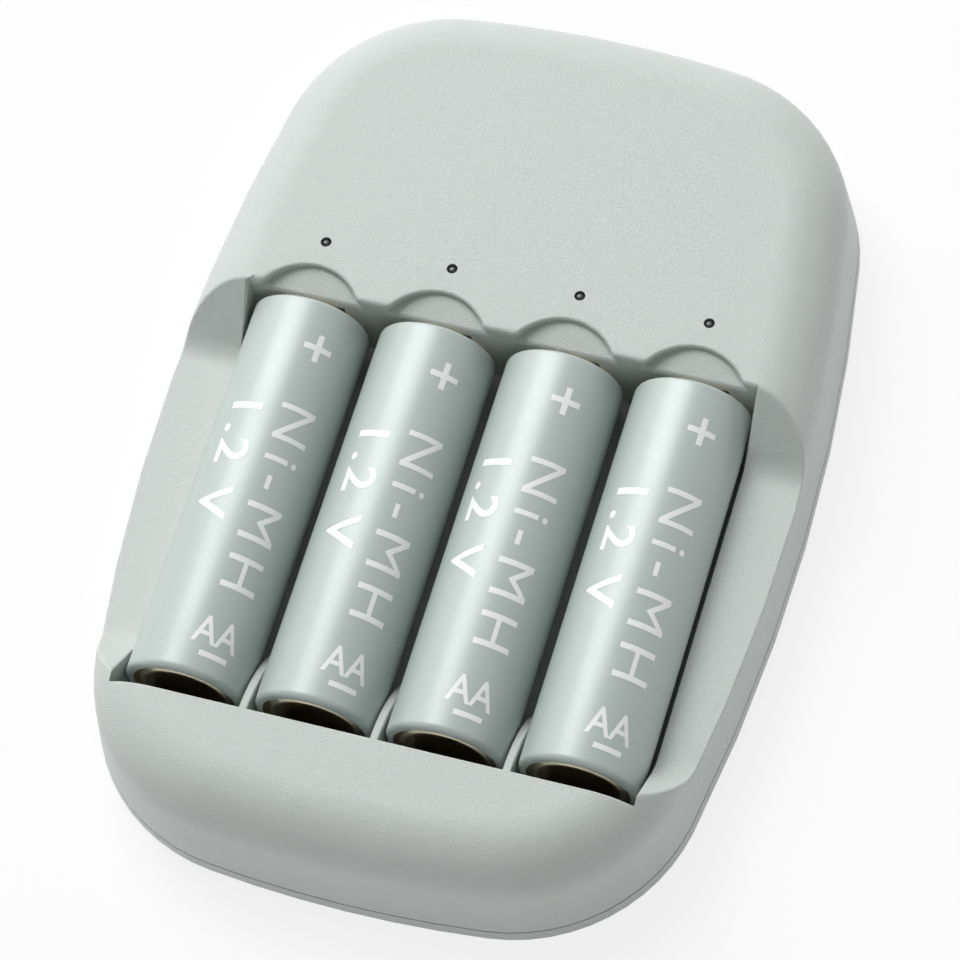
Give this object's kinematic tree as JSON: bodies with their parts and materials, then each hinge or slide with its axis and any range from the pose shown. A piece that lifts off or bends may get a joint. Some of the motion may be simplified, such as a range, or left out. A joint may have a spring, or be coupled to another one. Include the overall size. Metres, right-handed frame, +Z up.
{
  "type": "aa battery charger",
  "caption": "Pillow-shaped mains charger with an open bay of AA cells side by side, low side rails, finger scallops, indicator dots and a plain flat top.",
  "frame": {"origin": "on the table, under the middle of the body", "axes": "+X along the row of cells, +Y towards the cells' plus ends, +Z up from the table"},
  "size_m": [0.0782, 0.1128, 0.0183],
  "materials": {
    "housing": "fine moulded texture",
    "steel": "zinc plated",
    "nickel": "nickel-plated spring strip",
    "board": "solder mask",
    "black_plastic": "moulded",
    "coil_tape": "tape over a coil",
    "capacitor_sleeve": "shrink sleeve",
    "light_pipe": "dark smoked",
    "led": "clear resin",
    "cell_can": "nickel plated",
    "cell_sleeve": "satin printed sleeve"
  },
  "bodies": {
    "root": {"top_housing": "housing", "base_cover": "housing", "housing_screws": "steel", "circuit_board": "board", "board_screws": "steel", "mains_inlet": "black_plastic", "inlet_pin_left": "steel", "inlet_pin_right": "steel", "transformer": "coil_tape", "input_capacitor": "capacitor_sleeve", "output_capacitor": "capacitor_sleeve", "control_chip": "black_plastic", "fuse": "black_plastic", "bridge_rectifier": "black_plastic", "negative_bus": "nickel", "positive_contact_1": "nickel", "negative_contact_1": "nickel", "light_pipe_1": "light_pipe", "indicator_led_1": "led", "cell_1": "cell_can", "sleeve_1": "cell_sleeve", "positive_contact_2": "nickel", "negative_contact_2": "nickel", "light_pipe_2": "light_pipe", "indicator_led_2": "led", "cell_2": "cell_can", "sleeve_2": "cell_sleeve", "positive_contact_3": "nickel", "negative_contact_3": "nickel", "light_pipe_3": "light_pipe", "indicator_led_3": "led", "cell_3": "cell_can", "sleeve_3": "cell_sleeve", "positive_contact_4": "nickel", "negative_contact_4": "nickel", "light_pipe_4": "light_pipe", "indicator_led_4": "led", "cell_4": "cell_can", "sleeve_4": "cell_sleeve"}
  },
  "joints": []
}
